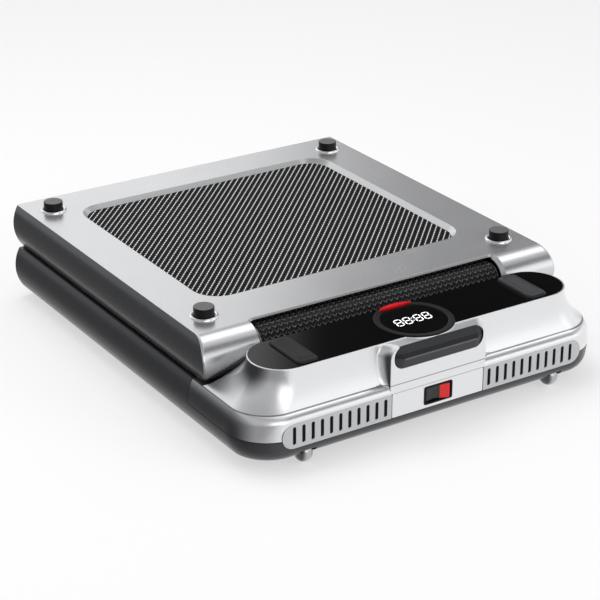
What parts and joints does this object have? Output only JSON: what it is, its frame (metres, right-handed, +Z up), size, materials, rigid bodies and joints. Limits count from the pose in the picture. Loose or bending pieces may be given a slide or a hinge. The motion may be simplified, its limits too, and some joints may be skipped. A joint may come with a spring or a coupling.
{
  "type": "folding walking pad treadmill",
  "caption": "Compact walking treadmill folded in half: powered front deck with raised console, and a hinged rear deck turned over on top of it.",
  "frame": {"origin": "centre of the footprint of the folded object, on the floor", "axes": "+X to the right seen from the console, -Y towards the console and motor hood, +Y towards the fold hinge, +Z up"},
  "size_m": [0.513, 0.6396, 0.1445],
  "materials": {
    "silver_paint": "satin metallic paint",
    "dark_casing": "satin",
    "silver_casing": "satin metallic paint",
    "grille_grey": "satin metallic paint",
    "gloss_black": "gloss",
    "lens_black": "gloss",
    "matte_black": "matte",
    "rubber": "matte",
    "grip_rubber": "matte",
    "belt": "woven",
    "mesh": "woven mesh",
    "steel": "brushed",
    "dark_steel": "black paint",
    "chrome": "polished",
    "board_green": "matte",
    "wood": "raw board",
    "red": "gloss",
    "wheel_grey": "satin"
  },
  "bodies": {
    "base": {"base_tray": "dark_casing", "hood_cover": "silver_casing", "console_plate": "gloss_black", "display_bezel": "matte_black", "display_lens": "lens_black", "display_board": "board_green", "receiver_window": "lens_black", "switch_cover_plate": "silver_casing", "switch_bezel": "matte_black", "vent_grille_left": "grille_grey", "vent_grille_right": "grille_grey", "front_grip": "grip_rubber", "power_inlet": "matte_black", "base_rails": "matte_black", "base_beams": "dark_steel", "base_window_panel": "mesh", "base_cross_members": "dark_steel", "base_cushions": "rubber", "base_deck_board": "wood", "base_guide_rod": "steel", "base_belt": "belt", "base_axle": "steel", "base_feet": "rubber", "base_foot_rings": "chrome", "stack_bumpers": "rubber", "base_hinges": "dark_steel", "hinge_pins": "steel", "motor_body": "dark_steel", "motor_cradle": "dark_steel", "motor_belt": "rubber", "controller_board": "board_green", "fan_housing": "matte_black", "wheel_axles": "steel", "fold_loop_inner": "belt", "fold_loop_outer": "belt", "key_switches": "board_green"},
    "rear_deck": {"rear_frame": "silver_paint", "rear_rails": "matte_black", "rear_beams": "dark_steel", "rear_window_panel": "mesh", "rear_cross_members": "dark_steel", "rear_cushions": "rubber", "rear_deck_board": "wood", "rear_guide_rod": "steel", "rear_belt": "belt", "rear_axle": "steel", "rear_feet": "rubber", "rear_foot_rings": "chrome", "rear_hinges": "dark_steel"},
    "front_roller": {"front_roller": "steel"},
    "rear_roller": {"rear_roller": "steel"},
    "motor_rotor": {"motor_shaft": "steel"},
    "fan_rotor": {"fan_rotor": "matte_black"},
    "wheel_left": {"transport_wheel_left": "wheel_grey"},
    "wheel_right": {"transport_wheel_right": "wheel_grey"},
    "power_rocker": {"rocker": "red"},
    "mode_button": {"mode_button": "red"},
    "key_left": {"speed_key_left": "grip_rubber"},
    "key_right": {"speed_key_right": "grip_rubber"}
  },
  "joints": [
    {"name": "fold", "type": "hinge", "parent": "base", "child": "rear_deck", "pos_m": [0, 0.29225, 0.07225], "axis": [-1, 0, 0], "range_deg": [0, 180], "deforming": ["fold_loop_inner", "fold_loop_outer"]},
    {"name": "front_roller_spin", "type": "hinge", "parent": "base", "child": "front_roller", "pos_m": [0, -0.184, 0.04175], "axis": [1, 0, 0], "continuous": true},
    {"name": "rear_roller_spin", "type": "hinge", "parent": "rear_deck", "child": "rear_roller", "pos_m": [0, -0.184, 0.10275], "axis": [1, 0, 0], "continuous": true},
    {"name": "motor_spin", "type": "hinge", "parent": "base", "child": "motor_rotor", "pos_m": [0, -0.26125, 0.0575], "axis": [1, 0, 0], "continuous": true},
    {"name": "fan_spin", "type": "hinge", "parent": "base", "child": "fan_rotor", "pos_m": [0.038, -0.26125, 0.0575], "axis": [1, 0, 0], "continuous": true},
    {"name": "wheel_left_spin", "type": "hinge", "parent": "base", "child": "wheel_left", "pos_m": [-0.1786, -0.30025, 0.0143], "axis": [1, 0, 0], "continuous": true},
    {"name": "wheel_right_spin", "type": "hinge", "parent": "base", "child": "wheel_right", "pos_m": [0.1786, -0.30025, 0.0143], "axis": [1, 0, 0], "continuous": true},
    {"name": "rocker_tilt", "type": "hinge", "parent": "base", "child": "power_rocker", "pos_m": [0, -0.30625, 0.045], "axis": [0, 0, 1], "range_deg": [0, 14]},
    {"name": "mode_press", "type": "slide", "parent": "base", "child": "mode_button", "axis": [0, 0, -1], "range_m": [0, 0.001], "stiffness_N_per_m": 600, "springref_m": -0.001},
    {"name": "key_left_press", "type": "slide", "parent": "base", "child": "key_left", "axis": [0, 0, -1], "range_m": [0, 0.0015], "stiffness_N_per_m": 800, "springref_m": -0.001},
    {"name": "key_right_press", "type": "slide", "parent": "base", "child": "key_right", "axis": [0, 0, -1], "range_m": [0, 0.0015], "stiffness_N_per_m": 800, "springref_m": -0.001}
  ],
  "couplings": [
    {"joint": "rear_roller_spin", "follows": "front_roller_spin", "ratio": 1},
    {"joint": "motor_spin", "follows": "front_roller_spin", "ratio": 1.9}
  ]
}
